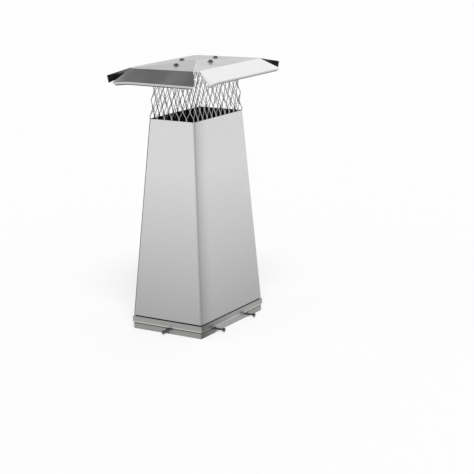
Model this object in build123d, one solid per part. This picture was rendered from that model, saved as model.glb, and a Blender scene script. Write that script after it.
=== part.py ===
from build123d import *
import os
from math import ceil, sqrt

os.makedirs("parts", exist_ok=True)

# A tall stainless chimney cap that fits over a rectangular clay flue tile.
# Millimetres. X runs along the short side, Y along the long side, Z up.
# Z is 0 at the lower edge of the brackets, and X and Y are 0 on the flue's centre line.

# The clay flue tile that the cap is made for, 216 x 330
tile_side_room = 16.0  # from the tile to the stack's foot, at each long side
tile_end_room = 20.0
seat_overlap = 16.0  # how far the pan's plate covers the tile's rim

# Sheet metal
sheet = 0.8
bracket_sheet = 1.5
lap_gap = 0.1  # between sheets that lie on each other
skirt_layers = 2  # the pan's skirt and its hem
cutter_length = 4.8  # of a drill that passes right through one wall

# Tapered stack
stack_foot_width = 248.0
stack_foot_length = 370.0
stack_top_width = 160.0
stack_top_length = 290.0
stack_height = 610.0
stack_bend_radius = 7.0
recess_height = 3.5  # dark groove between the stack and the pan
recess_depth = 3.0
foot_flange = 14.0
seam_lap = 20.0  # spot-welded lap on the rear side
seam_from_corner = 45.0

# Base pan with its turned-down skirt
pan_overhang = 1.0
pan_skirt_height = 20.2
pan_bend_radius = 2.0
pan_hem = 9.0

# Brackets and clamp plates below the skirt
bracket_drop = 19.8
bracket_lap = 14.0
bracket_end_gap = 10.0
bracket_end_chamfer = 6.0
bracket_bend_radius = 3.2
plate_lap = 14.0
side_screw_spacing = 186.0

# Clamp screws and their nuts
clamp_screw_diameter = 6.3
clamp_screw_length = 38.0
clamp_screw_tip_gap = 0.5
clamp_head_width = 11.0
clamp_head_height = 4.4
clamp_nut_height = 5.6
thread_gap = 0.15
hole_gap = 0.35

# Expanded metal screen
mesh_thickness = 1.6
mesh_pitch = 26.0
row_rise = 26.0
strand_width = 2.7
bond_length = 8.0
screen_depth = 20.5  # how far the screen reaches down inside the stack
screen_gap = 0.15

# Folded lid
lid_bend_width = 243.0
lid_bend_length = 382.0
lid_rise = 160.0  # from the stack's top edge to the lid's bend lines
lid_crown = 9.0
lid_corner_cut = 12.6
flap_reach = 52.7
flap_drop = 31.0
flap_flare = 22.0
lip_inset = 6.0
lip_drop = 9.5
lip_mitre = 11.0

# Lid fasteners
side_screw_inset = 16.509  # from the screen's fold to the screw at the middle of a long side
end_screw_inset = 20.558
lid_screw_diameter = 5.0
lid_screw_length = 16.0
lid_head_width = 10.0
lid_head_height = 4.2
cap_washer_diameter = 19.0
clamp_washer_diameter = 24.0
washer_thickness = 1.5
lid_nut_height = 4.6

# Levels and plan sizes that follow from the driving sizes
pan_top = bracket_drop + pan_skirt_height
stack_base = pan_top + recess_height
stack_top = stack_base + stack_height
lid_level = stack_top + lid_rise
tile_width = stack_foot_width - 2 * tile_side_room
tile_length = stack_foot_length - 2 * tile_end_room
pan_width = stack_foot_width + 2 * pan_overhang
pan_length = stack_foot_length + 2 * pan_overhang
half_bend_width = lid_bend_width / 2
half_bend_length = lid_bend_length / 2
width_slope = (stack_foot_width - stack_top_width) / 2 / stack_height
length_slope = (stack_foot_length - stack_top_length) / 2 / stack_height
screen_bottom = stack_top - screen_depth
screen_inset = sheet + screen_gap


def save(node, shape):
    shape.label = node
    export_step(shape, f"parts/{node}.step")


def half_width(z, inset):
    return stack_foot_width / 2 - width_slope * (z - stack_base) - inset


def half_length(z, inset):
    return stack_foot_length / 2 - length_slope * (z - stack_base) - inset


# The screen's fold at the level of the lid's bend lines, and the lid's screws inside it
fold_x = half_width(lid_level, screen_inset)
fold_y = half_length(lid_level, screen_inset)
lid_screw_x = fold_x - side_screw_inset
lid_screw_y = fold_y - end_screw_inset


def tapered(low, high, inset):
    """A solid with the stack's taper between two levels, smaller by the inset on each side."""
    outlines = []
    for z in (low, high):
        x = half_width(z, inset)
        y = half_length(z, inset)
        outlines.append([(-x, -y, z), (x, -y, z), (x, y, z), (-x, y, z)])
    lower, upper = outlines
    faces = [Face(Wire.make_polygon(outline, close=True)) for outline in outlines]
    for here, after in ((0, 1), (1, 2), (2, 3), (3, 0)):
        side = [lower[here], lower[after], upper[after], upper[here]]
        faces.append(Face(Wire.make_polygon(side, close=True)))
    frustum = Solid(Shell(faces))
    upright = [edge for edge in frustum.edges() if abs(edge.tangent_at(0).Z) > 0.5]
    return fillet(upright, stack_bend_radius - inset)


def rounded_block(width, length, radius, low, high):
    return Pos(0, 0, low) * extrude(RectangleRounded(width, length, radius), high - low)


def ring(width, length, radius, wall, low, high):
    inner_radius = max(radius - wall, wall)
    hollow = rounded_block(width - 2 * wall, length - 2 * wall, inner_radius, low, high)
    return rounded_block(width, length, radius, low, high) - hollow


def hexagon_prism(across_flats, height):
    return extrude(RegularPolygon(across_flats / 2, 6, major_radius=False), height)


def stack_shell():
    """One sheet bent at four corners, lapped on the rear side and turned in at its foot."""
    walls = tapered(stack_base, stack_top, 0) - tapered(stack_base - sheet, stack_top + sheet, sheet)
    lap = tapered(stack_base, stack_top, -sheet) - tapered(stack_base, stack_top, sheet / 2)
    lap_depth = stack_foot_width
    lap_line = stack_foot_length / 2 - seam_from_corner + seam_lap / 2
    lap_lean = length_slope * stack_height
    strip = Polyline(
        (lap_line - seam_lap / 2, stack_base),
        (lap_line + seam_lap / 2, stack_base),
        (lap_line + seam_lap / 2 - lap_lean, stack_top),
        (lap_line - seam_lap / 2 - lap_lean, stack_top),
        close=True,
    )
    side_view = Plane(origin=(0, 0, 0), x_dir=(0, 1, 0), z_dir=(1, 0, 0))
    lap = lap & extrude(side_view * make_face(strip), -lap_depth)
    neck_width = stack_foot_width - 2 * recess_depth
    neck_length = stack_foot_length - 2 * recess_depth
    neck_radius = stack_bend_radius - recess_depth
    step = ring(
        stack_foot_width, stack_foot_length, stack_bend_radius,
        recess_depth + sheet, stack_base, stack_base + sheet,
    )
    neck = ring(neck_width, neck_length, neck_radius, sheet, pan_top, stack_base + sheet)
    foot = ring(neck_width, neck_length, neck_radius, foot_flange, pan_top, pan_top + sheet)
    return walls + lap + step + neck + foot


def block(width, length, low, high):
    upwards = (Align.CENTER, Align.CENTER, Align.MIN)
    return Pos(0, 0, low) * Box(width, length, high - low, align=upwards)


def base_pan():
    """Folded pan: a plate with a flue opening, and a skirt turned down and hemmed inwards."""
    outer = block(pan_width, pan_length, bracket_drop, pan_top)
    outer = fillet(outer.faces().sort_by(Axis.Z)[-1].edges(), pan_bend_radius)
    inner_width = pan_width - 2 * sheet
    inner_length = pan_length - 2 * sheet
    inner = block(inner_width, inner_length, bracket_drop, pan_top - sheet)
    inner = fillet(inner.faces().sort_by(Axis.Z)[-1].edges(), pan_bend_radius - sheet)
    hem_top = bracket_drop + pan_hem
    hem = block(inner_width, inner_length, bracket_drop, hem_top)
    hem -= block(inner_width - 2 * sheet, inner_length - 2 * sheet, bracket_drop, hem_top)
    opening = rounded_block(
        tile_width - 2 * seat_overlap, tile_length - 2 * seat_overlap, seat_overlap,
        pan_top - 2 * sheet, pan_top + sheet,
    )
    return outer - inner - opening + hem


bracket_width = pan_width - 2 * (skirt_layers * sheet + lap_gap)
bracket_length = pan_length - 2 * (skirt_layers * sheet + lap_gap)
bracket_height = bracket_drop + bracket_lap
plate_width = bracket_width - 2 * bracket_sheet - 2 * lap_gap
plate_length = bracket_length - 2 * bracket_sheet - 2 * lap_gap
screw_level = bracket_drop / 2


def corner_bracket():
    """Angle at the corner +X, -Y, with its legs' lower ends cut off at a slant."""
    band = ring(
        bracket_width, bracket_length, bracket_bend_radius, bracket_sheet, 0, bracket_height
    )
    x_start = bracket_end_gap / 2
    y_end = -side_screw_spacing / 2 - bracket_end_gap / 2
    reach = pan_length
    corner = Pos(x_start, y_end, 0) * Box(
        reach, reach, bracket_height, align=(Align.MIN, Align.MAX, Align.MIN)
    )
    slant = bracket_end_chamfer * sqrt(2)
    short_cut = Pos(x_start, -pan_length / 2, 0) * Rot(0, 45, 0) * Box(slant, pan_width / 2, slant)
    long_cut = Pos(pan_width / 2, y_end, 0) * Rot(45, 0, 0) * Box(pan_width / 2, slant, slant)
    return (band & corner) - short_cut - long_cut


def clamp_plate(length, distance, screws):
    """Plate facing +Y at a distance from the centre, with a weld nut behind each screw's hole."""
    plate = Pos(0, distance, 0) * Box(
        length, bracket_sheet, bracket_height, align=(Align.CENTER, Align.MAX, Align.MIN)
    )
    nut_bore = Cylinder(clamp_screw_diameter / 2 + thread_gap, 3 * clamp_nut_height)
    for x in screws:
        inwards = Pos(x, distance - bracket_sheet, screw_level) * Rot(90, 0, 0)
        plate += inwards * hexagon_prism(clamp_head_width, clamp_nut_height)
        plate -= inwards * nut_bore
    return plate


def hex_screw(diameter, length, head_width, head_height):
    """Head above Z 0, shank below it."""
    down = (Align.CENTER, Align.CENTER, Align.MAX)
    return hexagon_prism(head_width, head_height) + Cylinder(diameter / 2, length, align=down)


def washer_nut(diameter, width, height):
    """Nut below Z 0 with its wide captive washer on top."""
    down = (Align.CENTER, Align.CENTER, Align.MAX)
    flange = Cylinder(clamp_washer_diameter / 2, washer_thickness, align=down)
    nut = Pos(0, 0, -washer_thickness - height) * hexagon_prism(width, height)
    bore = Cylinder(diameter / 2 + thread_gap, washer_thickness + height, align=down)
    return flange + nut - bore


def washer(diameter, bore, thickness):
    return extrude(Circle(diameter / 2) - Circle(bore / 2), thickness)


def clamp_place(side, offset, distance):
    """A frame whose Z points out of the given side of the skirt, at the screws' level."""
    turns = {"right": 0, "rear": 90, "left": 180, "front": 270}
    outward = Rot(0, 0, turns[side]) * Pos(distance, offset, screw_level) * Rot(0, 90, 0)
    return outward


clamp_spots = [
    ("right", -side_screw_spacing / 2), ("right", side_screw_spacing / 2),
    ("left", -side_screw_spacing / 2), ("left", side_screw_spacing / 2),
    ("front", 0), ("rear", 0),
]


def clamp_screw(side, offset):
    """Screw at one spot, its tip just clear of the tile."""
    tile_half = tile_width / 2 if side in ("left", "right") else tile_length / 2
    under_head = tile_half + clamp_screw_tip_gap + clamp_screw_length
    screw = hex_screw(
        clamp_screw_diameter, clamp_screw_length, clamp_head_width, clamp_head_height
    )
    return (clamp_place(side, offset, under_head) * screw).solid()


def lid_facets():
    """The crowned top's facets as falls per millimetre along X and Y, in parts of the crown."""
    cut_x = half_bend_width - lid_corner_cut
    cut_y = half_bend_length - lid_corner_cut
    share = cut_x * cut_y - half_bend_width * half_bend_length
    corner = ((cut_y - half_bend_length) / share, (cut_x - half_bend_width) / share)
    facets = []
    for sign in (1, -1):
        facets.append((sign / half_bend_width, 0))
        facets.append((0, sign / half_bend_length))
        facets.append((sign * corner[0], corner[1]))
        facets.append((sign * corner[0], -corner[1]))
    return facets


def lid_top(x, y):
    """Level of the crowned lid's upper side, inside its bend lines."""
    fall = max(x * fall_x + y * fall_y for fall_x, fall_y in lid_facets())
    return lid_level + lid_crown * (1 - fall)


def plate_from(points, thickness, inside):
    """A flat plate whose outer side has the given corners, thick towards the inside point."""
    face = Face(Wire.make_polygon(points, close=True))
    normal = face.normal_at()
    if normal.dot(Vector(*inside) - face.center()) < 0:
        normal = normal * -1
    return Solid.extrude(face, normal * thickness)


def lid_facing(side):
    """A frame on the lid's crowned top at a screw, with Z along that facet's normal."""
    x = {"right": lid_screw_x, "left": -lid_screw_x}.get(side, 0)
    y = {"rear": lid_screw_y, "front": -lid_screw_y}.get(side, 0)
    lean_x = lid_crown / half_bend_width * (1 if x > 0 else -1 if x < 0 else 0)
    lean_y = lid_crown / half_bend_length * (1 if y > 0 else -1 if y < 0 else 0)
    along = (0, 1, 0) if x else (1, 0, 0)
    return Plane((x, y, lid_top(x, y)), x_dir=along, z_dir=(lean_x, lean_y, 1))


def folded_lid():
    """One sheet: cross-broken top, four sloping flaps open at the corners, and their lips."""
    apex = (0, 0, lid_level + lid_crown)
    inside = (0, 0, lid_level - flap_drop - 2 * lip_drop)
    cut_x = half_bend_width - lid_corner_cut
    cut_y = half_bend_length - lid_corner_cut
    plates = []
    for sign in (1, -1):
        y = sign * half_bend_length
        y_edge = sign * (half_bend_length + flap_reach)
        y_lip = sign * (half_bend_length + flap_reach - lip_inset)
        x_edge = half_bend_width + flap_flare
        plates.append([apex, (-cut_x, y, lid_level), (cut_x, y, lid_level)])
        plates.append([
            (-cut_x, y, lid_level), (cut_x, y, lid_level),
            (x_edge, y_edge, lid_level - flap_drop), (-x_edge, y_edge, lid_level - flap_drop),
        ])
        plates.append([
            (-x_edge, y_edge, lid_level - flap_drop), (x_edge, y_edge, lid_level - flap_drop),
            (x_edge - lip_mitre, y_lip, lid_level - flap_drop - lip_drop),
            (-x_edge + lip_mitre, y_lip, lid_level - flap_drop - lip_drop),
        ])
        x = sign * half_bend_width
        x_edge = sign * (half_bend_width + flap_reach)
        x_lip = sign * (half_bend_width + flap_reach - lip_inset)
        y_edge = half_bend_length + flap_flare
        plates.append([apex, (x, -cut_y, lid_level), (x, cut_y, lid_level)])
        plates.append([
            (x, -cut_y, lid_level), (x, cut_y, lid_level),
            (x_edge, y_edge, lid_level - flap_drop), (x_edge, -y_edge, lid_level - flap_drop),
        ])
        plates.append([
            (x_edge, -y_edge, lid_level - flap_drop), (x_edge, y_edge, lid_level - flap_drop),
            (x_lip, y_edge - lip_mitre, lid_level - flap_drop - lip_drop),
            (x_lip, -y_edge + lip_mitre, lid_level - flap_drop - lip_drop),
        ])
        for other in (1, -1):
            plates.append([
                apex, (sign * cut_x, other * half_bend_length, lid_level),
                (sign * half_bend_width, other * cut_y, lid_level),
            ])
    solids = [plate_from(points, sheet, inside) for points in plates]
    lid = solids[0].fuse(*solids[1:])
    for side in ("right", "left", "rear", "front"):
        bore = Cylinder(lid_screw_diameter / 2 + hole_gap, cutter_length)
        lid -= lid_facing(side) * bore
    return lid


crown_lean = sqrt(1 + (lid_crown / half_bend_width) ** 2)
under_lid = -(sheet + lap_gap) * crown_lean  # from the lid's upper side to the screen's flange
fold_level = lid_top(0, fold_y) + under_lid
row_count = 2 * round(((fold_level - screen_bottom) / row_rise - 1) / 2) + 1
row_step = (fold_level - screen_bottom) / row_count
cells_short = round(2 * half_width(stack_top, screen_inset) / mesh_pitch)
cells_long = round(2 * half_length(stack_top, screen_inset) / mesh_pitch)


def diamond(half_pitch):
    """Corners of one opening as steps across and up from its centre, long way upright."""
    side = half_pitch - strand_width
    tip = row_step - bond_length / 2
    bond = bond_length / 2
    return [(0, -tip), (side, -bond), (side, bond), (0, tip), (-side, bond), (-side, -bond)]


def front_opening(x, z, half_pitch):
    points = []
    for across, up in diamond(half_pitch):
        points.append(Vector(x + across, -half_length(z + up, screen_inset), z + up))
    outward = Vector(0, -1, length_slope)
    return opening_prism(points, outward, mesh_thickness)


def right_opening(y, z, half_pitch):
    points = []
    for across, up in diamond(half_pitch):
        points.append(Vector(half_width(z + up, screen_inset), y + across, z + up))
    outward = Vector(1, 0, width_slope)
    return opening_prism(points, outward, mesh_thickness)


def corner_opening(z, x_sign, half_pitch_x, half_pitch_y):
    """An opening that wraps the corner at x_sign, -Y, cut along the corner's diagonal."""
    outward = Vector(x_sign, -1, 0).normalized()
    centre = Vector(x_sign * half_width(z, screen_inset), -half_length(z, screen_inset), z)
    front = diamond(half_pitch_x)
    side = diamond(half_pitch_y)
    points = []
    for (front_step, up), (side_step, _) in zip(front, side):
        corner_x = x_sign * half_width(z + up, screen_inset)
        corner_y = -half_length(z + up, screen_inset)
        if front_step < 0:
            point = Vector(corner_x + x_sign * front_step, corner_y, z + up)
        else:
            point = Vector(corner_x, corner_y + side_step, z + up)
        points.append(point - outward * (point - centre).dot(outward))
    return opening_prism(points, outward, mesh_pitch / 2)


def opening_prism(points, outward, depth):
    margin = 2 * mesh_thickness
    outward = outward.normalized()
    face = Face(Wire.make_polygon([point + outward * margin for point in points], close=True))
    return Solid.extrude(face, outward * -(margin + depth + mesh_thickness / 4))


def screen_openings():
    """Every opening of the front and right sides, and of the corners beside them."""
    cuts = []
    for row in range(row_count + 1):
        z = fold_level - row * row_step
        pitch_x = 2 * half_width(z, screen_inset) / cells_short
        pitch_y = 2 * half_length(z, screen_inset) / cells_long
        shift = 0.5 if row % 2 == 0 else 1.0
        count_x = cells_short if row % 2 == 0 else cells_short - 1
        count_y = cells_long if row % 2 == 0 else cells_long - 1
        for index in range(count_x):
            x = (index + shift - cells_short / 2) * pitch_x
            cuts.append(front_opening(x, z, pitch_x / 2))
        for index in range(count_y):
            y = (index + shift - cells_long / 2) * pitch_y
            cuts.append(right_opening(y, z, pitch_y / 2))
        if row % 2 == 1:
            cuts.append(corner_opening(z, 1, pitch_x / 2, pitch_y / 2))
            cuts.append(corner_opening(z, -1, pitch_x / 2, pitch_y / 2))
    return cuts


def flange_outline(cells, pitch, limit):
    """Zigzag band of strands from the fold to the next row of bonds, as steps across and in."""
    spare = (cells - 1) / 2 * pitch + strand_width - limit
    inner_count = cells - 2 * max(0, ceil(spare / pitch))
    bond = bond_length / 2
    tip = row_rise - bond
    edge = inner_count / 2 * pitch
    outline = [(-edge, 0), (-edge + strand_width, 0), (-edge + strand_width, bond)]
    for index in range(1, inner_count + 1):
        outline.append((-edge + (index - 0.5) * pitch, tip))
        outline.append((-edge + index * pitch - strand_width, bond))
        outline.append((-edge + index * pitch - strand_width, 0))
        if index < inner_count:
            outline.append((-edge + index * pitch + strand_width, 0))
            outline.append((-edge + index * pitch + strand_width, bond))
    outline.append((edge, 0))
    outline.append((edge, bond))
    for index in range(inner_count, 0, -1):
        centre = -edge + (index - 0.5) * pitch
        outline.append((centre + strand_width, tip))
        outline.append((centre + strand_width, row_rise + bond))
        outline.append((centre - strand_width, row_rise + bond))
        outline.append((centre - strand_width, tip))
        if index > 1:
            outline.append((centre - pitch / 2, bond))
    outline.append((-edge, bond))
    return outline


def screen_flanges():
    """Turned-in bands at the front and the right, flat under the lid's facets."""
    below = (0, 0, stack_top)
    hip =(half_bend_length - lid_corner_cut) / half_bend_width
    outer_hip = half_bend_length / (half_bend_width - lid_corner_cut)
    reach = row_rise + bond_length / 2
    front_outline = flange_outline(cells_short, 2 * fold_x / cells_short, (fold_y - reach) / outer_hip)
    right_outline = flange_outline(cells_long, 2 * fold_y / cells_long, (fold_x - reach) * hip)
    front = []
    for across, inward in front_outline:
        y = -fold_y + inward
        front.append((across, y, lid_top(0, y) + under_lid))
    right = []
    for across, inward in right_outline:
        x = fold_x - inward
        right.append((x, across, lid_top(x, 0) + under_lid))
    return [plate_from(front, mesh_thickness, below), plate_from(right, mesh_thickness, below)]


def mesh_screen():
    """One strip of expanded metal bent round four corners, its top edge turned in."""
    top = lid_level + lid_crown
    walls = tapered(screen_bottom - bond_length / 2, top, screen_inset)
    walls -= tapered(screen_bottom - bond_length, top + sheet, screen_inset + mesh_thickness)
    roof = 4 * lid_crown
    for fall_x, fall_y in lid_facets():
        normal = (lid_crown * fall_x, lid_crown * fall_y, 1)
        slab = Box(2 * lid_bend_length, 2 * lid_bend_length, roof)
        walls -= Plane((0, 0, top), z_dir=normal) * Pos(0, 0, roof / 2 + under_lid) * slab
    turned = Rot(0, 0, 180)
    cuts = screen_openings()
    walls -= cuts + [turned * cut for cut in cuts]
    flanges = screen_flanges()
    screen = walls + flanges + [turned * flange for flange in flanges]
    for side in ("right", "left", "rear", "front"):
        screen -= lid_facing(side) * Cylinder(lid_screw_diameter / 2 + hole_gap, row_rise)
    return screen


def lid_fasteners(side):
    """Screw, sealing washer and washer nut at one side's screw place."""
    frame = lid_facing(side)
    bore = lid_screw_diameter + 2 * hole_gap
    flange_under = under_lid - mesh_thickness - lap_gap
    screw = hex_screw(lid_screw_diameter, lid_screw_length, lid_head_width, lid_head_height)
    nut = washer_nut(lid_screw_diameter, lid_head_width, lid_nut_height)
    return {
        "lid_screws": (frame * Pos(0, 0, washer_thickness) * screw).solid(),
        "lid_washers": (frame * washer(cap_washer_diameter, bore, washer_thickness)).solid(),
        "lid_nuts": (frame * Pos(0, 0, flange_under) * nut).solid(),
    }


save("base_pan", base_pan())
save("stack_shell", stack_shell())
save("mesh_screen", mesh_screen())
save("lid", folded_lid())

bracket = corner_bracket()
mirrored = mirror(bracket, Plane.YZ)
half_turn = Rot(0, 0, 180)
corner_brackets = [bracket, mirrored, half_turn * bracket, half_turn * mirrored]
for number, shape in enumerate(corner_brackets, 1):
    save(f"corner_bracket_{number}", shape)

side_length = side_screw_spacing + bracket_end_gap + 2 * plate_lap
end_length = bracket_end_gap + 2 * plate_lap
side_screws = (-side_screw_spacing / 2, side_screw_spacing / 2)
side_plate = Rot(0, 0, 90) * clamp_plate(side_length, plate_width / 2, side_screws)
end_plate = clamp_plate(end_length, plate_length / 2, (0,))
save("side_clamp_plate_1", half_turn * side_plate)
save("side_clamp_plate_2", side_plate)
save("end_clamp_plate_1", half_turn * end_plate)
save("end_clamp_plate_2", end_plate)

save("clamp_screws", Compound([clamp_screw(side, offset) for side, offset in clamp_spots]))

lid_sets = [lid_fasteners(side) for side in ("front", "rear", "left", "right")]
for name in ("lid_screws", "lid_washers", "lid_nuts"):
    save(name, Compound([pieces[name] for pieces in lid_sets]))
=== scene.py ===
import math

import bmesh
import bpy
from mathutils import Matrix, Vector


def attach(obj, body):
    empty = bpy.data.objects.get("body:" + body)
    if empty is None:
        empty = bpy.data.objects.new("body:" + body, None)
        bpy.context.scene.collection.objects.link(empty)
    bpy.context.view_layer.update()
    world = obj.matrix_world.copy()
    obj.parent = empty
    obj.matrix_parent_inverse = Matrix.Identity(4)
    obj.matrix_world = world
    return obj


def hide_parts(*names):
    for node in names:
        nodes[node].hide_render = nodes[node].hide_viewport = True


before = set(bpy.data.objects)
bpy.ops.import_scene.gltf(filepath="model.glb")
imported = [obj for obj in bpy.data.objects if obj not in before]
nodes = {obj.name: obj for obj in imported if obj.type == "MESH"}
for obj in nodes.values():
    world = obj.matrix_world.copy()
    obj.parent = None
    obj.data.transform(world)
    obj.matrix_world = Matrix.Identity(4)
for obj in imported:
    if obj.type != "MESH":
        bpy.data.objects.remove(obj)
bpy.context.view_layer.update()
print("frame loaded")

# camera first, from the photo's viewing angle
cameraView = {
    "place": (2.4267, -3.9012, 1.3615),
    "yaw": -30.362,
    "pitch": 13.421,
    "roll": -0.244,
    "lens": 114.6,
    "sensor": 36,
    "farthest": 60,
}


def makeCamera():
    yaw, pitch, roll = (math.radians(cameraView[key]) for key in ("yaw", "pitch", "roll"))
    ahead = Vector((math.sin(yaw) * math.cos(pitch), math.cos(yaw) * math.cos(pitch), -math.sin(pitch)))
    level = Vector((math.cos(yaw), -math.sin(yaw), 0))
    upright = level.cross(ahead)
    right = math.cos(roll) * level + math.sin(roll) * upright
    up = math.cos(roll) * upright - math.sin(roll) * level
    data = bpy.data.cameras.new("camera")
    data.lens = cameraView["lens"]
    data.sensor_width = cameraView["sensor"]
    data.clip_end = cameraView["farthest"]
    camera = bpy.data.objects.new("camera", data)
    turn = Matrix((right, up, -ahead)).transposed().to_4x4()
    camera.matrix_world = Matrix.Translation(cameraView["place"]) @ turn
    bpy.context.scene.collection.objects.link(camera)
    bpy.context.scene.camera = camera


makeCamera()
print("camera placed")

# finishes, some of them lit or shaded copies that carry painted light or shade: a grain is long where its
# number is small, and wave is how much the sheet sways
steelFinish = {
    "lidSteel": {
        "color": (0.94, 0.94, 0.94), "rough": 0.22, "grain": (260, 9, 260), "streak": 0.05, "wave": 0.60,
    },
    # painted shade: a darker copy of the lid steel for the top's front facet
    "frontFacetPaintedShade": {
        "color": (0.70, 0.70, 0.70), "rough": 0.24, "grain": (260, 9, 260), "streak": 0.12, "wave": 0.60,
    },
    # painted highlight: a lighter copy of the lid steel for the hip facets
    "hipPaintedHighlight": {
        "color": (0.97, 0.97, 0.97), "rough": 0.22, "grain": (260, 9, 260), "streak": 0.03, "wave": 0.0,
    },
    # painted shade: a darker copy of the lid steel for the lips
    "lipPaintedShade": {
        "color": (0.60, 0.60, 0.60), "rough": 0.30, "grain": (260, 9, 260), "streak": 0.08, "wave": 0.0,
    },
    # painted shadow line along the foot of each lip
    "lipPaintedShadowLine": {
        "color": (0.12, 0.12, 0.12), "rough": 0.34, "grain": (260, 9, 260), "streak": 0.10, "wave": 0.0,
    },
    # painted shade: a near-black copy of the lid steel for its underside
    "lidUndersidePaintedShade": {
        "color": (0.09, 0.09, 0.09), "rough": 0.45, "grain": (260, 9, 260), "streak": 0.08, "wave": 0.05,
    },
    "stackSteel": {
        "color": (0.76, 0.76, 0.765), "rough": 0.32, "grain": (300, 300, 7), "streak": 0.05, "wave": 0.15,
        # painted shade: darker towards the bottom, and darker beside the front folds
        "paintedShading": {"from": 0.04, "to": 0.50, "share": 0.58},
        "fold": {"depth": 0.34, "reach": 0.080, "line": 0.1878, "slope": 0.06557},
    },
    # painted shade: a near-black copy of the stack steel for one corner bend
    "cornerBendPaintedShade": {
        "color": (0.17, 0.17, 0.175), "rough": 0.34, "grain": (300, 300, 7), "streak": 0.08, "wave": 0.0,
    },
    "panSteel": {
        "color": (0.37, 0.38, 0.365), "rough": 0.30, "grain": (14, 14, 420), "streak": 0.22, "wave": 0.15,
        # painted highlight along the skirt's lower edge, and painted shade beside the front folds
        "paintedShading": {"from": 0.0225, "to": 0.0240, "share": 1.70},
        "fold": {"depth": 0.70, "reach": 0.25, "line": 0.186, "slope": 0.0},
    },
    "bracketSteel": {
        "color": (0.34, 0.345, 0.33), "rough": 0.32, "grain": (14, 14, 420), "streak": 0.22, "wave": 0.10,
        # painted shadow along the top, under the pan's skirt, and painted shade beside the front folds
        "paintedShading": {"from": 0.0182, "to": 0.0155, "share": 0.10},
        "fold": {"depth": 0.70, "reach": 0.25, "line": 0.1843, "slope": 0.0},
    },
    "plateSteel": {
        "color": (0.42, 0.42, 0.43), "rough": 0.40, "grain": (24, 24, 420), "streak": 0.10, "wave": 0.0,
    },
    # painted shadow: a near-black copy of the plate steel for the end plates in their notches
    "endPlatePaintedShadow": {
        "color": (0.12, 0.12, 0.12), "rough": 0.40, "grain": (24, 24, 420), "streak": 0.10, "wave": 0.0,
    },
    "screenSteel": {
        "color": (0.46, 0.46, 0.455), "rough": 0.24, "grain": (160, 160, 40), "streak": 0.15, "wave": 0.0,
        # painted light: the strands near the lid are up to twice as bright
        "paintedShading": {"from": 0.785, "to": 0.765, "share": 2.0},
    },
    "screwSteel": {
        "color": (0.13, 0.13, 0.135), "rough": 0.34, "grain": (500, 500, 500), "streak": 0.10, "wave": 0.0,
    },
    "washerSteel": {
        "color": (0.30, 0.30, 0.31), "rough": 0.42, "grain": (500, 500, 500), "streak": 0.10, "wave": 0.0,
    },
}
mill = {  # what all the steels share
    "grainDetail": 4.0, "grainBump": 0.12, "grainDepth": 0.0001, "lighter": 0.6,
    "cloudScale": 6.0, "cloudDetail": 3.0, "cloudShare": 0.10, "cloudSpan": (0.3, 0.7),
    "smoother": 0.04, "rougher": 0.05, "waveScale": 7.0, "waveDetail": 1.0, "waveDepth": 0.006,
}
# painted shadow: a near-black speckled finish for the stack's inside and the recess at its foot
shadowBlack = {
    "dark": (0.006, 0.006, 0.006, 1), "pale": (0.014, 0.014, 0.013, 1),
    "rough": 0.85, "speckleScale": 60.0, "speckleDetail": 2.0,
}


def feed(tree, value, socket):  # the value is a plain one or another node's output
    if isinstance(value, bpy.types.NodeSocket):
        tree.links.new(value, socket)
    else:
        socket.default_value = value


def calc(tree, operation, *values):
    node = tree.nodes.new("ShaderNodeMath")
    node.operation = operation
    for value, socket in zip(values, node.inputs):
        feed(tree, value, socket)
    return node.outputs["Value"]


def splitVector(tree, source):
    split = tree.nodes.new("ShaderNodeSeparateXYZ")
    feed(tree, source, split.inputs["Vector"])
    return split.outputs


def remap(tree, value, span, result=(0.0, 1.0), kind="LINEAR"):
    node = tree.nodes.new("ShaderNodeMapRange")
    node.interpolation_type = kind
    for key, number in zip(("From Min", "From Max", "To Min", "To Max"), (*span, *result)):
        node.inputs[key].default_value = number
    feed(tree, value, node.inputs["Value"])
    return node.outputs["Result"]


def addNoise(tree, place, scale, detail):
    noise = tree.nodes.new("ShaderNodeTexNoise")
    noise.inputs["Scale"].default_value = scale
    noise.inputs["Detail"].default_value = detail
    feed(tree, place, noise.inputs["Vector"])
    return noise.outputs["Fac"]


def mixColors(tree, share, first, second, blend="MIX"):
    mix = tree.nodes.new("ShaderNodeMix")
    mix.data_type = "RGBA"
    mix.blend_type = blend
    for value, number in ((share, 0), (first, 6), (second, 7)):
        feed(tree, value, mix.inputs[number])
    return mix.outputs[2]


def addBump(tree, height, strength, depth):
    bump = tree.nodes.new("ShaderNodeBump")
    bump.inputs["Strength"].default_value = strength
    bump.inputs["Distance"].default_value = depth
    feed(tree, height, bump.inputs["Height"])
    return bump


def newMaterial(name):
    material = bpy.data.materials.new(name)
    material.use_nodes = True
    return material, material.node_tree, material.node_tree.nodes["Principled BSDF"]


def makePaintedFoldShade(tree, place, fold):  # painted shade: the broad sides are darker beside their front folds
    spot = splitVector(tree, place.outputs["Object"])
    facing = splitVector(tree, place.outputs["Normal"])
    outward = calc(tree, "SUBTRACT", calc(tree, "MULTIPLY", spot["Z"], fold["slope"]), spot["Y"])
    near = remap(tree, outward, (fold["line"] - fold["reach"], fold["line"]))
    band = calc(tree, "POWER", near, 2.0)
    broadSide = calc(tree, "MULTIPLY", band, calc(tree, "ABSOLUTE", facing["X"]))
    return calc(tree, "MULTIPLY_ADD", broadSide, -fold["depth"], 1.0)


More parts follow.
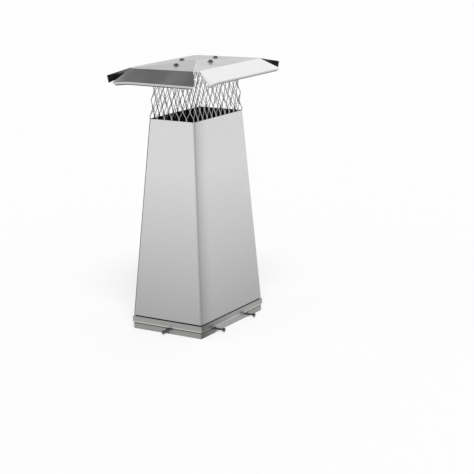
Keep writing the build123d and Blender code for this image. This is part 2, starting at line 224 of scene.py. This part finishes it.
def makePaintedShading(tree, tone, place, look):  # painted light and shade: tone scaled by height, and darker beside a fold
    paintedShading = look["paintedShading"]
    height = splitVector(tree, place.outputs["Object"])["Z"]
    strength = remap(tree, height, (paintedShading["from"], paintedShading["to"]), (paintedShading["share"], 1.0))
    if "fold" in look:
        strength = calc(tree, "MULTIPLY", strength, makePaintedFoldShade(tree, place, look["fold"]))
    dimmed = tree.nodes.new("ShaderNodeVectorMath")
    dimmed.operation = "SCALE"
    feed(tree, tone, dimmed.inputs[0])
    feed(tree, strength, dimmed.inputs["Scale"])
    return dimmed.outputs["Vector"]


def makeSteel(name):
    look = steelFinish[name]
    material, tree, shader = newMaterial(name)
    shader.inputs["Metallic"].default_value = 1.0
    place = tree.nodes.new("ShaderNodeTexCoord")
    stretch = tree.nodes.new("ShaderNodeMapping")
    stretch.inputs["Scale"].default_value = look["grain"]
    feed(tree, place.outputs["Object"], stretch.inputs["Vector"])
    grain = addNoise(tree, stretch.outputs["Vector"], 1.0, mill["grainDetail"])
    cloud = addNoise(tree, place.outputs["Object"], mill["cloudScale"], mill["cloudDetail"])

    color = Vector(look["color"])
    darker = (*(color * (1 - look["streak"])), 1)
    lighter = (*(color * (1 + look["streak"] * mill["lighter"])), 1)
    tone = mixColors(tree, grain, darker, lighter)
    tone = mixColors(tree, mill["cloudShare"], tone, cloud, "MULTIPLY")
    if "paintedShading" in look:
        tone = makePaintedShading(tree, tone, place, look)
    feed(tree, tone, shader.inputs["Base Color"])

    roughSpan = (look["rough"] - mill["smoother"], look["rough"] + mill["rougher"])
    feed(tree, remap(tree, cloud, mill["cloudSpan"], roughSpan), shader.inputs["Roughness"])

    fine = addBump(tree, grain, mill["grainBump"], mill["grainDepth"])
    if look["wave"]:
        broad = addNoise(tree, place.outputs["Object"], mill["waveScale"], mill["waveDetail"])
        sway = addBump(tree, broad, look["wave"], mill["waveDepth"])
        feed(tree, sway.outputs["Normal"], fine.inputs["Normal"])
    feed(tree, fine.outputs["Normal"], shader.inputs["Normal"])
    return material


def makeShadowBlack():
    material, tree, shader = newMaterial("innerPaintedShadow")
    shader.inputs["Roughness"].default_value = shadowBlack["rough"]
    place = tree.nodes.new("ShaderNodeTexCoord")
    speckle = addNoise(tree, place.outputs["Object"], shadowBlack["speckleScale"], shadowBlack["speckleDetail"])
    feed(tree, mixColors(tree, speckle, shadowBlack["dark"], shadowBlack["pale"]), shader.inputs["Base Color"])
    return material


steels = {name: makeSteel(name) for name in steelFinish}
innerPaintedShadow = makeShadowBlack()
print("finishes made")


def newPiece(name, bm, finish, replaced=(), sharpAngle=30):
    for face in bm.faces:
        face.smooth = True
    for edge in bm.edges:  # sharp at open rims and hard turns, so that big faces stay flat
        if edge.is_boundary or edge.calc_face_angle(0) > math.radians(sharpAngle):
            edge.smooth = False
    mesh = bpy.data.meshes.new(name)
    bm.to_mesh(mesh)
    bm.free()
    mesh.materials.append(finish)
    piece = bpy.data.objects.new(name, mesh)
    bpy.context.scene.collection.objects.link(piece)
    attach(piece, "root")
    if replaced:
        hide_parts(*replaced)
    return piece


def addWall(piece, thickness, innerSlot=0):
    wall = piece.modifiers.new("wall", "SOLIDIFY")
    wall.thickness = thickness
    wall.offset = -1
    wall.use_even_offset = True
    wall.material_offset = innerSlot
    return wall


def softenEdges(piece, width, segments):
    edge = piece.modifiers.new("softEdge", "BEVEL")
    edge.width = width
    edge.segments = segments


def flattenFaces(piece):
    flat = piece.modifiers.new("flatFaces", "WEIGHTED_NORMAL")
    flat.keep_sharp = True
    flat.weight = 80


def roundEdges(bm, edges, width, segments):
    bmesh.ops.bevel(
        bm, geom=edges, offset=width, offset_type="OFFSET", segments=segments,
        profile=0.5, affect="EDGES", material=-1,
    )


def boundaryAt(bm, level):
    return [
        edge for edge in bm.edges
        if edge.is_boundary and all(abs(vert.co.z - level) < 1e-5 for vert in edge.verts)
    ]


def stepLoop(bm, edges, inward, rise):
    made = bmesh.ops.extrude_edge_only(bm, edges=edges)
    for vert in made["geom"]:
        if isinstance(vert, bmesh.types.BMVert):
            vert.co.x -= math.copysign(inward, vert.co.x)
            vert.co.y -= math.copysign(inward, vert.co.y)
            vert.co.z += rise
    return [item for item in made["geom"] if isinstance(item, bmesh.types.BMEdge)]


# tapered stack
stack = {
    "footWidth": 0.248, "footLength": 0.370, "topWidth": 0.160, "topLength": 0.290,
    "base": 0.0435, "top": 0.6535, "sheet": 0.0008, "bend": 0.007,
    "paintedShadeBend": (-0.15, -0.05),  # one bend takes a painted shade: its faces point further left and forward than this
    "edgeIn": 0.0004, "edgeDrop": 0.0003, "recess": 0.0030, "neckFoot": 0.040, "foot": 0.013,
    "seamFromCorner": 0.035, "seamHalf": 0.010, "seamShort": 0.0006, "seamSink": 0.0002,
    "seamEdge": 0.0003, "welds": 13, "weldMargin": 0.025, "weldRadius": 0.0026, "weldHeight": 0.00025,
}
stackSlots = {"inside": 1, "bend": 2, "neck": 3}
widthSlope = (stack["footWidth"] - stack["topWidth"]) / 2 / (stack["top"] - stack["base"])
lengthSlope = (stack["footLength"] - stack["topLength"]) / 2 / (stack["top"] - stack["base"])


def halfWidth(z, inset=0.0):
    return stack["footWidth"] / 2 - widthSlope * (z - stack["base"]) - inset


def halfLength(z, inset=0.0):
    return stack["footLength"] / 2 - lengthSlope * (z - stack["base"]) - inset


def makeStack():
    bm = bmesh.new()
    for vert in bmesh.ops.create_cube(bm, size=1.0)["verts"]:
        z = stack["top"] if vert.co.z > 0 else stack["base"]
        vert.co = (math.copysign(halfWidth(z), vert.co.x), math.copysign(halfLength(z), vert.co.y), z)
    bm.normal_update()
    caps = [face for face in bm.faces if abs(face.normal.z) > 0.9]
    bmesh.ops.delete(bm, geom=caps, context="FACES_ONLY")
    upright = [edge for edge in bm.edges if abs(edge.verts[0].co.z - edge.verts[1].co.z) > 0.1]
    roundEdges(bm, upright, stack["bend"], 8)
    bm.normal_update()
    # the bend that points left and forward takes the painted shade
    leftLimit, frontLimit = stack["paintedShadeBend"]
    for face in bm.faces:
        if face.normal.x < leftLimit and face.normal.y < frontLimit:
            face.material_index = stackSlots["bend"]
    loop = boundaryAt(bm, stack["base"])
    loop = stepLoop(bm, loop, stack["edgeIn"], -stack["edgeDrop"])
    above = len(bm.faces)
    loop = stepLoop(bm, loop, stack["recess"] - stack["edgeIn"], 0.0)
    loop = stepLoop(bm, loop, 0.0, stack["neckFoot"] - stack["base"] + stack["edgeDrop"])
    stepLoop(bm, loop, stack["foot"], 0.0)
    # the recess and neck below the stack's edge take the painted shadow black
    bm.faces.ensure_lookup_table()
    for face in bm.faces[above:]:
        face.material_index = stackSlots["neck"]
    piece = newPiece("stack", bm, steels["stackSteel"], ["stack_shell"])
    # the inside and the recess take the painted shadow black, the one bend its painted shade
    for finish in (innerPaintedShadow, steels["cornerBendPaintedShade"], innerPaintedShadow):
        piece.data.materials.append(finish)
    addWall(piece, stack["sheet"], stackSlots["inside"])
    flattenFaces(piece)


def makeSeam():
    bm = bmesh.new()
    for vert in bmesh.ops.create_cube(bm, size=1.0)["verts"]:
        z = stack["top"] - stack["seamShort"] if vert.co.z > 0 else stack["base"] + stack["seamShort"]
        outward = stack["sheet"] if vert.co.x < 0 else -stack["seamSink"]
        middle = halfLength(z) - stack["seamFromCorner"]
        vert.co = (-halfWidth(z) - outward, middle + math.copysign(stack["seamHalf"], vert.co.y), z)
    roundEdges(bm, bm.edges[:], stack["seamEdge"], 2)
    newPiece("stackLap", bm, steels["stackSteel"])


def makeSpotWelds():
    bm = bmesh.new()
    lean = Vector((-1, 0, widthSlope)).normalized()
    turn = lean.to_track_quat("Z", "Y").to_matrix().to_4x4()
    squash = Matrix.Diagonal((stack["weldRadius"], stack["weldRadius"], stack["weldHeight"], 1))
    spacing = (stack["top"] - stack["base"] - 2 * stack["weldMargin"]) / (stack["welds"] - 1)
    for index in range(stack["welds"]):
        z = stack["base"] + stack["weldMargin"] + index * spacing
        spot = Vector((-halfWidth(z, -stack["sheet"]), halfLength(z) - stack["seamFromCorner"], z))
        bmesh.ops.create_uvsphere(
            bm, u_segments=20, v_segments=8, radius=1.0, matrix=Matrix.Translation(spot) @ turn @ squash,
        )
    newPiece("spotWelds", bm, steels["screwSteel"])


makeStack()
makeSeam()
makeSpotWelds()
print("stack made")

# pan with its hemmed skirt
pan = {
    "width": 0.250, "length": 0.372, "low": 0.0198, "high": 0.040, "sheet": 0.0008,
    "bend": 0.002, "openWidth": 0.184, "openLength": 0.298, "hem": 0.009, "hemGap": 0.00002,
    "hemTurn": (  # the skirt's lower edge turns in and up again: each step's way inward, and its rise
        (0.00023, -0.00057), (0.00057, -0.00023), (0.00057, 0.00023), (0.00023, 0.00057),
    ),
}


def makePan():
    bm = bmesh.new()
    x, y = pan["width"] / 2, pan["length"] / 2
    for vert in bmesh.ops.create_cube(bm, size=1.0)["verts"]:
        z = pan["high"] if vert.co.z > 0 else pan["low"] + pan["sheet"]
        vert.co = (math.copysign(x, vert.co.x), math.copysign(y, vert.co.y), z)
    bm.normal_update()
    floorFace = [face for face in bm.faces if face.normal.z < -0.9]
    bmesh.ops.delete(bm, geom=floorFace, context="FACES_ONLY")
    rim = [edge for edge in bm.edges if all(abs(vert.co.z - pan["high"]) < 1e-6 for vert in edge.verts)]
    roundEdges(bm, rim, pan["bend"], 4)
    bm.normal_update()
    deck = max(bm.faces, key=lambda face: face.calc_area() if face.normal.z > 0.9 else 0)
    deckEdge = (pan["width"] - pan["openWidth"]) / 2 - pan["bend"]
    bmesh.ops.inset_region(bm, faces=[deck], thickness=deckEdge, depth=0.0, use_even_offset=True)
    extra = (pan["length"] - pan["openLength"]) / 2 - pan["bend"] - deckEdge
    for vert in deck.verts:
        vert.co.y -= math.copysign(extra, vert.co.y)
    bmesh.ops.delete(bm, geom=[deck], context="FACES_ONLY")
    loop = boundaryAt(bm, pan["low"] + pan["sheet"])
    for inward, rise in pan["hemTurn"]:
        loop = stepLoop(bm, loop, inward, rise)
    stepLoop(bm, loop, 0.0, pan["hem"] - pan["sheet"])
    piece = newPiece("pan", bm, steels["panSteel"], ["base_pan"])
    addWall(piece, pan["sheet"] - pan["hemGap"])
    flattenFaces(piece)


bracket = {
    "width": 0.2466, "length": 0.3686, "height": 0.0338, "sheet": 0.0015, "softEdge": 0.0003,
    "corner": 0.0032, "endGap": 0.005, "sideEnd": 0.098, "chamfer": 0.006,
}


def makeBracket(name, signX, signY, node):
    bm = bmesh.new()
    x, y = bracket["width"] / 2, bracket["length"] / 2
    lower = [
        (bracket["endGap"], y, bracket["chamfer"]),
        (bracket["endGap"] + bracket["chamfer"], y, 0),
        (x, y, 0),
        (x, bracket["sideEnd"] + bracket["chamfer"], 0),
        (x, bracket["sideEnd"], bracket["chamfer"]),
    ]
    verts = [bm.verts.new((signX * px, signY * py, pz)) for px, py, pz in lower]
    edges = [bm.edges.new(pair) for pair in zip(verts, verts[1:])]
    for item in bmesh.ops.extrude_edge_only(bm, edges=edges)["geom"]:
        if isinstance(item, bmesh.types.BMVert):
            item.co.z = bracket["height"]
    fold = [
        edge for edge in bm.edges
        if abs(edge.verts[0].co.z - edge.verts[1].co.z) > 0.01
        and all(abs(abs(vert.co.x) - x) < 1e-6 and abs(abs(vert.co.y) - y) < 1e-6 for vert in edge.verts)
    ]
    roundEdges(bm, fold, bracket["corner"], 5)
    bm.normal_update()
    outer = max(bm.faces, key=lambda face: face.calc_area())
    if outer.normal.dot(Vector((signX, signY, 0))) < 0:
        bmesh.ops.reverse_faces(bm, faces=bm.faces[:])
    piece = newPiece(name, bm, steels["bracketSteel"], [node])
    addWall(piece, bracket["sheet"])
    softenEdges(piece, bracket["softEdge"], 2)
    flattenFaces(piece)


makePan()
for number, (signX, signY) in enumerate(((1, -1), (-1, -1), (-1, 1), (1, 1)), 1):
    makeBracket(f"cornerBracket{number}", signX, signY, f"corner_bracket_{number}")
# the end plates take the painted shadow copy
for name in ("side_clamp_plate_1", "side_clamp_plate_2", "end_clamp_plate_1", "end_clamp_plate_2"):
    plate = nodes[name]
    plate.data.materials.clear()
    plate.data.materials.append(steels["plateSteel" if name.startswith("side") else "endPlatePaintedShadow"])
print("pan and brackets made")

# folded lid
plainEnd = {"lift": 0.0, "spread": 0.0, "hang": 0.0, "mitre": 0.011}
lid = {
    "width": 0.243, "length": 0.382, "level": 0.8135, "crown": 0.009, "cut": 0.0126, "roll": 0.0035,
    "reach": 0.0527, "flare": 0.022, "lipInset": 0.006, "lipDrop": 0.0085, "lipShare": 0.64,
    "sheet": 0.0008, "bend": 0.0016, "creaseFrom": 0.052,
    "flaps": {  # each flap's facing, its drop, and how its two ends are bent by hand
        "front": {"out": (0, -1, 0), "drop": 0.0385, "ends": ({**plainEnd, "lift": -0.005}, plainEnd)},
        "right": {"out": (1, 0, 0), "drop": 0.031, "ends": ({**plainEnd, "lift": -0.005}, plainEnd)},
        "rear": {"out": (0, 1, 0), "drop": 0.031, "ends": (
            {"lift": 0.018, "spread": 0.011, "hang": 0.010, "mitre": 0.0}, plainEnd,
        )},
        "left": {"out": (-1, 0, 0), "drop": 0.031, "ends": (
            plainEnd, {"lift": 0.006, "spread": 0.0125, "hang": 0.014, "mitre": 0.0},
        )},
    },
}
lidSlots = {"deck": 2, "hip": 4, "lip": 6, "hem": 8}  # each is followed by the dark underside, a painted shade


def rollDrop(x):  # the whole top leans down to the left
    return lid["roll"] * (0.5 - x / lid["width"])


def extrudeLines(bm, edges):
    made = bmesh.ops.extrude_edge_only(bm, edges=edges)["geom"]
    lines = [item for item in made if isinstance(item, bmesh.types.BMEdge) and item.is_boundary]
    return [line for line in lines if all(vert in made for vert in line.verts)]


def creaseFlapEnds(bm, outer, corners):
    flap = outer.link_faces[0]
    edges = [outer]
    for corner in corners:
        hinge = next(edge.other_vert(corner) for edge in corner.link_edges if edge is not outer)
        near, middle = bmesh.utils.edge_split(outer, corner, lid["creaseFrom"] / outer.calc_length())
        part = bmesh.utils.face_split(flap, hinge, middle)[0]
        bm.edges.get((hinge, middle)).smooth = False
        if outer not in flap.edges[:]:
            flap = part
        edges.append(near)
    return edges


def makeFlap(bm, line, flap):
    out = Vector(flap["out"])
    along = Vector((-out.y, out.x, 0))
    halfSize = Vector((lid["width"] / 2, lid["length"] / 2, 0))
    halfOut, halfAlong = abs(halfSize.dot(out)), abs(halfSize.dot(along))
    outer = extrudeLines(bm, [line])[0]
    corners = sorted(outer.verts, key=lambda vert: vert.co.dot(along))
    for corner, hand in zip(corners, (-1, 1)):
        corner.co = out * (halfOut + lid["reach"]) + along * hand * (halfAlong + lid["flare"])
        corner.co.z = lid["level"] - flap["drop"]
    edges = creaseFlapEnds(bm, outer, corners)
    for corner, hand, end in zip(corners, (-1, 1), flap["ends"]):
        corner.co += along * hand * end["spread"]
        corner.co.z += end["lift"]
    rims = edges
    # the upper part of each lip takes a painted shade, the lower part a painted shadow line
    for slot, share in (("lip", lid["lipShare"]), ("hem", 1 - lid["lipShare"])):
        rims = extrudeLines(bm, rims)
        for edge in rims:
            edge.link_faces[0].material_index = lidSlots[slot]
        verts = sorted({vert for edge in rims for vert in edge.verts}, key=lambda vert: vert.co.dot(along))
        for vert in verts:
            vert.co -= out * lid["lipInset"] * share
            vert.co.z -= lid["lipDrop"] * share
        for vert, hand, end in zip((verts[0], verts[-1]), (-1, 1), flap["ends"]):
            vert.co -= along * hand * end["mitre"] * share
            vert.co.z -= end["hang"] * share
    return edges


def makeLid():
    bm = bmesh.new()
    x, y, cut = lid["width"] / 2, lid["length"] / 2, lid["cut"]
    outline = [
        (x - cut, -y), (x, -y + cut), (x, y - cut), (x - cut, y),
        (-x + cut, y), (-x, y - cut), (-x, -y + cut), (-x + cut, -y),
    ]
    deck = bm.faces.new([bm.verts.new((px, py, lid["level"])) for px, py in outline])
    bendLines = [edge for edge in deck.edges if edge.calc_length() > 2 * cut]
    poked = bmesh.ops.poke(bm, faces=[deck])
    apex = poked["verts"][0]
    apex.co.z += lid["crown"]
    for breakLine in apex.link_edges:  # the top's cross breaks show as creases
        breakLine.smooth = False
    for vert in bm.verts:
        vert.co.z -= rollDrop(vert.co.x)
    lipLines = []
    for line in bendLines:
        middle = (line.verts[0].co + line.verts[1].co) / 2
        flap = max(lid["flaps"].values(), key=lambda each: middle.dot(Vector(each["out"])))
        lipLines += makeFlap(bm, line, flap)
    for facet in poked["faces"]:
        middle = facet.calc_center_median()
        # the hip facets take a painted highlight
        if not any(line in bendLines for line in facet.edges):
            facet.material_index = lidSlots["hip"]
        elif middle.y < -abs(middle.x):  # the front facet, which takes a painted shade
            facet.material_index = lidSlots["deck"]
    roundEdges(bm, bendLines + lipLines, lid["bend"], 4)
    bmesh.ops.recalc_face_normals(bm, faces=bm.faces[:])
    bm.normal_update()
    top = max(bm.faces, key=lambda face: face.calc_center_median().z)
    if top.normal.z < 0:
        bmesh.ops.reverse_faces(bm, faces=bm.faces[:])
    piece = newPiece("rainLid", bm, steels["lidSteel"], ["lid"], sharpAngle=22)
    for name in ("frontFacetPaintedShade", "hipPaintedHighlight", "lipPaintedShade", "lipPaintedShadowLine"):
        piece.data.materials.append(steels["lidUndersidePaintedShade"])
        piece.data.materials.append(steels[name])
    piece.data.materials.append(steels["lidUndersidePaintedShade"])
    addWall(piece, lid["sheet"], 1)
    flattenFaces(piece)


makeLid()
print("lid made")

# expanded metal screen
screen = {
    "inset": 0.00095, "shortCells": 6, "longCells": 11, "rowRise": 0.026, "depth": 0.0205,
    "strand": 0.0027, "bond": 0.0080, "thickness": 0.0011, "tilt": 0.0004, "softEdge": 0.00028,
    "shortFlange": 6, "longFlange": 5, "underLid": 0.0009, "foldGap": 0.0002, "sheetDepth": 0.0016,
}


def lidTop(x, y):
    fall = max(abs(x) / (lid["width"] / 2), abs(y) / (lid["length"] / 2))
    return lid["level"] + lid["crown"] * (1 - fall) - rollDrop(x)


lowestCorner = (-halfWidth(lid["level"], screen["inset"]), halfLength(lid["level"], screen["inset"]))
foldLevel = lidTop(*lowestCorner) - lid["sheet"] - screen["thickness"] / 2 - screen["foldGap"]
screenBottom = stack["top"] - screen["depth"]
rowCount = 2 * round(((foldLevel - screenBottom) / screen["rowRise"] - 1) / 2) + 1  # always odd
rowStep = (foldLevel - screenBottom) / rowCount


def sideDistance(side, z, inset):
    return halfWidth(z, inset) if side in (0, 2) else halfLength(z, inset)


def strandPlace(side, across, along, proud):  # along runs down from the fold, or inward where negative
    turn = Matrix.Rotation(math.radians(90 * side), 3, "Z")
    if along >= 0:
        z = foldLevel - along
        out = sideDistance(side, z, screen["inset"] + screen["thickness"] / 2 + 2 * screen["tilt"] - proud)
    else:
        out = sideDistance(side, foldLevel, screen["inset"]) + along
        spot = turn @ Vector((out, across, 0))
        under = screen["underLid"] + screen["thickness"] / 2 + 2 * screen["tilt"] - proud
        z = lidTop(spot.x, spot.y) - under
    return turn @ Vector((out, across, z))


def strandStations(side, cell, hand):  # the strand's middle line, three places at each bond
    longSide = side in (0, 2)
    cells = screen["longCells"] if longSide else screen["shortCells"]
    flanged = screen["longFlange"] if longSide else screen["shortFlange"]
    firstRow = -1 if abs(cell + 0.5 - cells / 2) < flanged / 2 else 0
    half, reach = screen["strand"] / 2, screen["bond"] / 2
    stations = []
    for row in range(firstRow, rowCount + 1):
        middle = row * rowStep if row >= 0 else -screen["rowRise"]
        z = foldLevel - max(middle, 0)
        size = halfLength(z, screen["inset"]) if longSide else halfWidth(z, screen["inset"])
        pitch = 2 * size / cells
        if row % 2 == 0:
            right = hand == 0
            bondLine = (cell + hand - cells / 2) * pitch
        else:
            right = hand == 1
            bondLine = (cell + 0.5 - cells / 2) * pitch
        centre = bondLine + (half if right else -half)
        proud = screen["tilt"] if right else -screen["tilt"]
        for along in (middle - reach, middle, middle + reach):
            if row == 0 and firstRow == 0 and along < 0:
                continue
            stations.append((centre, along, proud))
    return stations


def addStrand(bm, side, cell, hand):
    half = screen["strand"] / 2
    edge = None
    for centre, along, proud in strandStations(side, cell, hand):
        low = strandPlace(side, centre - half, along, proud - screen["tilt"])
        high = strandPlace(side, centre + half, along, proud + screen["tilt"])
        if edge is None:
            edge = bm.edges.new((bm.verts.new(low), bm.verts.new(high)))
            lowVert = edge.verts[0]
            continue
        made = bmesh.ops.extrude_edge_only(bm, edges=[edge])["geom"]
        verts = [item for item in made if isinstance(item, bmesh.types.BMVert)]
        verts.sort(key=lambda vert: (vert.co - lowVert.co).length)
        lowVert = verts[0]
        verts[0].co, verts[1].co = low, high
        edge = bm.edges.get(verts)


def makeScreen():
    bm = bmesh.new()
    for side in range(4):
        cells = screen["longCells"] if side in (0, 2) else screen["shortCells"]
        for cell in range(cells):
            for hand in (0, 1):
                addStrand(bm, side, cell, hand)
    bmesh.ops.recalc_face_normals(bm, faces=bm.faces[:])
    piece = newPiece("meshScreen", bm, steels["screenSteel"], ["mesh_screen"], sharpAngle=40)
    wall = addWall(piece, screen["thickness"])
    wall.offset = 0
    softenEdges(piece, screen["softEdge"], 1)


makeScreen()
print("screen made")

# screws, nuts and washers
clampScrew = {
    "diameter": 0.0063, "length": 0.038, "head": 0.011, "headHeight": 0.0044, "pitch": 0.0013,
    "level": 0.0099, "bearingWidth": 0.216, "bearingLength": 0.330, "tipGap": 0.0005,
    "spots": ((0, -0.093), (0, 0.093), (2, -0.093), (2, 0.093), (3, 0), (1, 0)),  # side and offset
}
lidScrew = {
    "diameter": 0.0050, "length": 0.016, "head": 0.010, "headHeight": 0.0042, "pitch": 0.0010,
    "spots": ((0, -0.113), (0, 0.113), (-0.051, 0), (0.051, 0)),
}
screwForm = {  # what both kinds of screw share
    "headFoot": 0.0004, "collar": 1.12, "collarHeight": 0.0008, "tip": 0.0015, "tipShare": 0.7,
    "threadDepth": 0.55, "threadSink": 0.98, "threadFrom": 0.0002, "threadSteps": 16, "plainTurns": 2,
}
lidNut = {"width": 0.010, "height": 0.0046, "gap": 0.0001}
washers = {"upper": 0.019, "lower": 0.024, "thickness": 0.0015}
hexEdge = 0.0004
discEdgeShare = 0.25


def addHex(bm, place, width, low, high):
    across = width / 2 / math.cos(math.radians(30))
    middle = place @ Matrix.Translation((0, 0, (low + high) / 2)) @ Matrix.Rotation(math.radians(30), 4, "Z")
    made = bmesh.ops.create_cone(
        bm, cap_ends=True, segments=6, radius1=across, radius2=across, depth=high - low, matrix=middle,
    )
    roundEdges(bm, list({edge for vert in made["verts"] for edge in vert.link_edges}), hexEdge, 2)


def addDisc(bm, place, diameter, low, high):
    middle = place @ Matrix.Translation((0, 0, (low + high) / 2))
    made = bmesh.ops.create_cone(
        bm, cap_ends=True, segments=40, radius1=diameter / 2, radius2=diameter / 2,
        depth=high - low, matrix=middle,
    )
    rims = [
        edge for edge in {edge for vert in made["verts"] for edge in vert.link_edges}
        if any(len(face.verts) > 4 for face in edge.link_faces)
    ]
    roundEdges(bm, rims, (high - low) * discEdgeShare, 2)


def addThread(bm, place, size, root):
    radius, pitch = size["diameter"] / 2, size["pitch"]
    inner, start, steps = root * screwForm["threadSink"], -screwForm["threadFrom"], screwForm["threadSteps"]
    turns = int(size["length"] / pitch) - screwForm["plainTurns"]
    profile = [(inner, start), (radius, start - pitch / 2), (inner, start - pitch)]
    verts = [bm.verts.new(place @ Vector((px, 0, pz))) for px, pz in profile]
    edges = [bm.edges.new(pair) for pair in zip(verts, verts[1:])]
    turn = place.to_3x3()
    bmesh.ops.spin(
        bm, geom=verts + edges, cent=place.translation, axis=turn @ Vector((0, 0, 1)),
        dvec=turn @ Vector((0, 0, -pitch / steps)), angle=2 * math.pi * turns,
        steps=steps * turns, use_merge=False, use_duplicate=False,
    )


def addScrew(bm, place, size):
    root = size["diameter"] / 2 - screwForm["threadDepth"] * size["pitch"]
    core = size["length"] - screwForm["tip"]
    addHex(bm, place, size["head"], screwForm["headFoot"], size["headHeight"])
    addDisc(bm, place, size["head"] * screwForm["collar"], 0.0, screwForm["collarHeight"])
    tipMiddle = place @ Matrix.Translation((0, 0, -size["length"] + screwForm["tip"] / 2))
    bmesh.ops.create_cone(
        bm, cap_ends=True, segments=24, radius1=root * screwForm["tipShare"], radius2=root,
        depth=screwForm["tip"], matrix=tipMiddle,
    )
    bmesh.ops.create_cone(
        bm, cap_ends=True, segments=24, radius1=root, radius2=root, depth=core,
        matrix=place @ Matrix.Translation((0, 0, -core / 2)),
    )
    addThread(bm, place, size, root)


def clampPlace(side, offset):  # the tips stand just off what the screws bear on
    half = clampScrew["bearingWidth"] / 2 if side in (0, 2) else clampScrew["bearingLength"] / 2
    distance = half + clampScrew["tipGap"] + clampScrew["length"]
    turn = Matrix.Rotation(math.radians(90 * side), 4, "Z")
    spot = Matrix.Translation((distance, offset, clampScrew["level"]))
    return turn @ spot @ Matrix.Rotation(math.radians(90), 4, "Y")


def lidPlace(x, y):
    lean = Vector((
        (math.copysign(lid["crown"] / (lid["width"] / 2), x) if x else 0) - lid["roll"] / lid["width"],
        math.copysign(lid["crown"] / (lid["length"] / 2), y) if y else 0,
        1,
    )).normalized()
    return Matrix.Translation((x, y, lidTop(x, y))) @ lean.to_track_quat("Z", "Y").to_matrix().to_4x4()


def makeClampScrews():
    screws = bmesh.new()
    for side, offset in clampScrew["spots"]:
        addScrew(screws, clampPlace(side, offset), clampScrew)
    newPiece("clampScrews", screws, steels["screwSteel"], ["clamp_screws"])


def makeLidFasteners():
    screws, nuts, seals = bmesh.new(), bmesh.new(), bmesh.new()
    thick = washers["thickness"]
    under = -screen["underLid"] - screen["sheetDepth"] - lidNut["gap"] - thick
    for x, y in lidScrew["spots"]:
        place = lidPlace(x, y)
        addScrew(screws, place @ Matrix.Translation((0, 0, thick)), lidScrew)
        addDisc(seals, place, washers["upper"], 0.0, thick)
        addDisc(nuts, place, washers["lower"], under, under + thick)
        addHex(nuts, place, lidNut["width"], under - lidNut["height"], under)
    newPiece("lidScrews", screws, steels["screwSteel"], ["lid_screws"])
    newPiece("lidWashers", seals, steels["washerSteel"], ["lid_washers"])
    newPiece("lidNuts", nuts, steels["screwSteel"], ["lid_nuts"])


makeClampScrews()
makeLidFasteners()
print("fasteners made")

# floor, world and sun
studio = {
    "floorColor": (0.86, 0.86, 0.86), "floorGlow": 0.60, "floorRough": 0.9, "floorHalf": 20.0,
    "horizon": 1.0, "ceiling": 0.10, "ceilingSpan": (0.60, 0.82),
    "flags": (  # darker patches of the world round the object: their direction, depth and spread
        ((-1.0, 0.08, 0.0), 0.80, (0.62, 0.88)),
        ((0.99, 0.10, 0.0), 0.50, (0.60, 0.82)),
        ((-0.55, 0.83, 0.0), 0.40, (0.90, 0.99)),
    ),
    "sunStrength": 2.6, "sunFrom": (0.9, -1.3, 2.2), "sunSpread": 25,
}


def makeFloor():
    bm = bmesh.new()
    bmesh.ops.create_grid(bm, x_segments=1, y_segments=1, size=studio["floorHalf"])
    mesh = bpy.data.meshes.new("floor")
    bm.to_mesh(mesh)
    bm.free()
    material, tree, shader = newMaterial("paleFloor")
    shader.inputs["Base Color"].default_value = (*studio["floorColor"], 1)
    shader.inputs["Roughness"].default_value = studio["floorRough"]
    shader.inputs["Specular IOR Level"].default_value = 0.0
    glow = tree.nodes.new("ShaderNodeEmission")
    glow.inputs["Color"].default_value = (1, 1, 1, 1)
    path = tree.nodes.new("ShaderNodeLightPath")
    seen = calc(tree, "MAXIMUM", path.outputs["Is Camera Ray"], path.outputs["Is Glossy Ray"])
    blend = tree.nodes.new("ShaderNodeMixShader")
    feed(tree, calc(tree, "MULTIPLY", seen, studio["floorGlow"]), blend.inputs[0])
    feed(tree, shader.outputs["BSDF"], blend.inputs[1])
    feed(tree, glow.outputs["Emission"], blend.inputs[2])
    feed(tree, blend.outputs["Shader"], tree.nodes["Material Output"].inputs["Surface"])
    mesh.materials.append(material)
    floor = bpy.data.objects.new("floor", mesh)
    bpy.context.scene.collection.objects.link(floor)


def makeWorld():
    world = bpy.data.worlds.new("studio")
    bpy.context.scene.world = world
    world.use_nodes = True
    tree = world.node_tree
    backdrop = tree.nodes["Background"]
    backdrop.inputs["Strength"].default_value = 1.0
    place = tree.nodes.new("ShaderNodeTexCoord")
    height = splitVector(tree, place.outputs["Generated"])["Z"]
    skyTones = (studio["horizon"], studio["ceiling"])
    light = remap(tree, height, studio["ceilingSpan"], skyTones, "SMOOTHSTEP")
    for direction, depth, spread in studio["flags"]:
        facing = tree.nodes.new("ShaderNodeVectorMath")
        facing.operation = "DOT_PRODUCT"
        facing.inputs[1].default_value = direction
        feed(tree, place.outputs["Generated"], facing.inputs[0])
        shade = remap(tree, facing.outputs["Value"], spread, (1.0, 1.0 - depth), "SMOOTHSTEP")
        light = calc(tree, "MULTIPLY", light, shade)
    path = tree.nodes.new("ShaderNodeLightPath")
    shown = tree.nodes.new("ShaderNodeMix")  # the camera itself sees plain white
    feed(tree, path.outputs["Is Camera Ray"], shown.inputs["Factor"])
    feed(tree, light, shown.inputs["A"])
    feed(tree, 1.0, shown.inputs["B"])
    feed(tree, shown.outputs["Result"], backdrop.inputs["Color"])


def makeSun():
    data = bpy.data.lights.new("softSun", "SUN")
    data.energy = studio["sunStrength"]
    data.angle = math.radians(studio["sunSpread"])
    sun = bpy.data.objects.new("softSun", data)
    sun.visible_glossy = False
    sun.matrix_world = Vector(studio["sunFrom"]).to_track_quat("Z", "Y").to_matrix().to_4x4()
    bpy.context.scene.collection.objects.link(sun)


makeFloor()
makeWorld()
makeSun()
bpy.context.scene.view_settings.view_transform = "Standard"
print("studio made")
